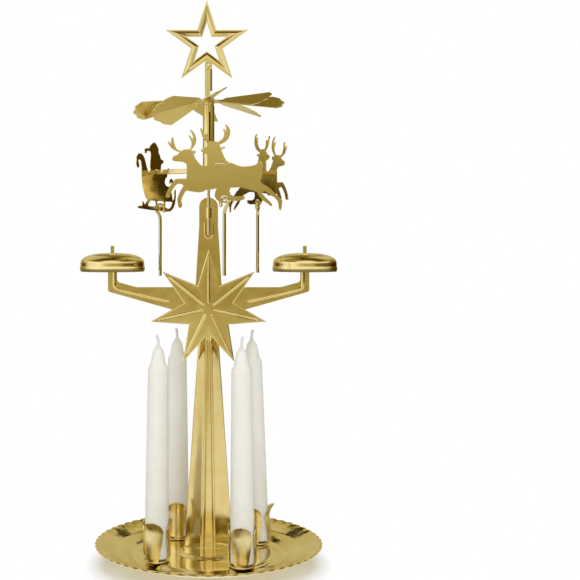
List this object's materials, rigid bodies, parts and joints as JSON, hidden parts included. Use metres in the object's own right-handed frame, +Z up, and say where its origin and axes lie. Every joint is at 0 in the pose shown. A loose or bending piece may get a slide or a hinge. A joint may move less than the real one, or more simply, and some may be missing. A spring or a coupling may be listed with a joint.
{
  "type": "candle carousel",
  "caption": "Brass candle carousel: a scalloped tray with candle clips, a post with bells and a star, and a vaned rotor with figures and strikers that turns on a needle.",
  "frame": {"origin": "centre of the tray's foot, on the table", "axes": "+Z up along the rotor's axis, -Y towards the front, where the seven-point star is"},
  "size_m": [0.1422, 0.1248, 0.3055],
  "materials": {
    "brass": "polished",
    "steel": "ground pin",
    "wax": "smooth wax",
    "cotton": "braided"
  },
  "bodies": {
    "base": {"tray": "brass", "post": "brass", "cross_panel": "brass", "star_panel": "brass", "needle": "steel", "bell_left": "brass", "bell_right": "brass", "holder_back_right": "brass", "holder_back_left": "brass", "holder_front_left": "brass", "holder_front_right": "brass", "holder_rivet_back_right": "brass", "holder_rivet_back_left": "brass", "holder_rivet_front_left": "brass", "holder_rivet_front_right": "brass"},
    "rotor": {"rotor_tube": "brass", "bearing_cup": "brass", "vane_wheel": "brass", "hub_collar": "brass", "top_star": "brass", "star_stem": "brass", "star_rivet": "brass", "figure_carrier": "brass", "reindeer_front": "brass", "reindeer_rear": "brass", "sleigh": "brass"},
    "striker_front_body": {"striker_front": "brass"},
    "striker_rear_body": {"striker_rear": "brass"},
    "striker_left_body": {"striker_left": "brass"},
    "candle_back_right_body": {"candle_back_right": "wax", "wick_back_right": "cotton"},
    "candle_back_left_body": {"candle_back_left": "wax", "wick_back_left": "cotton"},
    "candle_front_left_body": {"candle_front_left": "wax", "wick_front_left": "cotton"},
    "candle_front_right_body": {"candle_front_right": "wax", "wick_front_right": "cotton"}
  },
  "joints": [
    {"name": "rotor_turn", "type": "hinge", "parent": "base", "child": "rotor", "pos_m": [0, 0, 0.2461], "axis": [0, 0, 1], "continuous": true},
    {"name": "striker_front_swing", "type": "hinge", "parent": "rotor", "child": "striker_front_body", "pos_m": [0.00818, -0.03258, 0.19274], "axis": [0.5736, 0.8192, 0], "range_deg": [-15, 15]},
    {"name": "striker_rear_swing", "type": "hinge", "parent": "rotor", "child": "striker_rear_body", "pos_m": [0.02781, 0.01882, 0.19274], "axis": [-0.9659, 0.2588, 0], "range_deg": [-15, 15]},
    {"name": "striker_left_swing", "type": "hinge", "parent": "rotor", "child": "striker_left_body", "pos_m": [-0.02754, 0.0193, 0.19103], "axis": [0.2588, -0.9659, 0], "range_deg": [-15, 15]},
    {"name": "candle_back_right_lift", "type": "slide", "parent": "base", "child": "candle_back_right_body", "axis": [-0.03, 0, 0.9996], "range_m": [0, 0.026]},
    {"name": "candle_back_left_lift", "type": "slide", "parent": "base", "child": "candle_back_left_body", "axis": [-0.004, 0, 1], "range_m": [0, 0.026]},
    {"name": "candle_front_left_lift", "type": "slide", "parent": "base", "child": "candle_front_left_body", "axis": [0.0085, 0, 1], "range_m": [0, 0.026]},
    {"name": "candle_front_right_lift", "type": "slide", "parent": "base", "child": "candle_front_right_body", "axis": [-0.003, 0, 1], "range_m": [0, 0.026]}
  ]
}
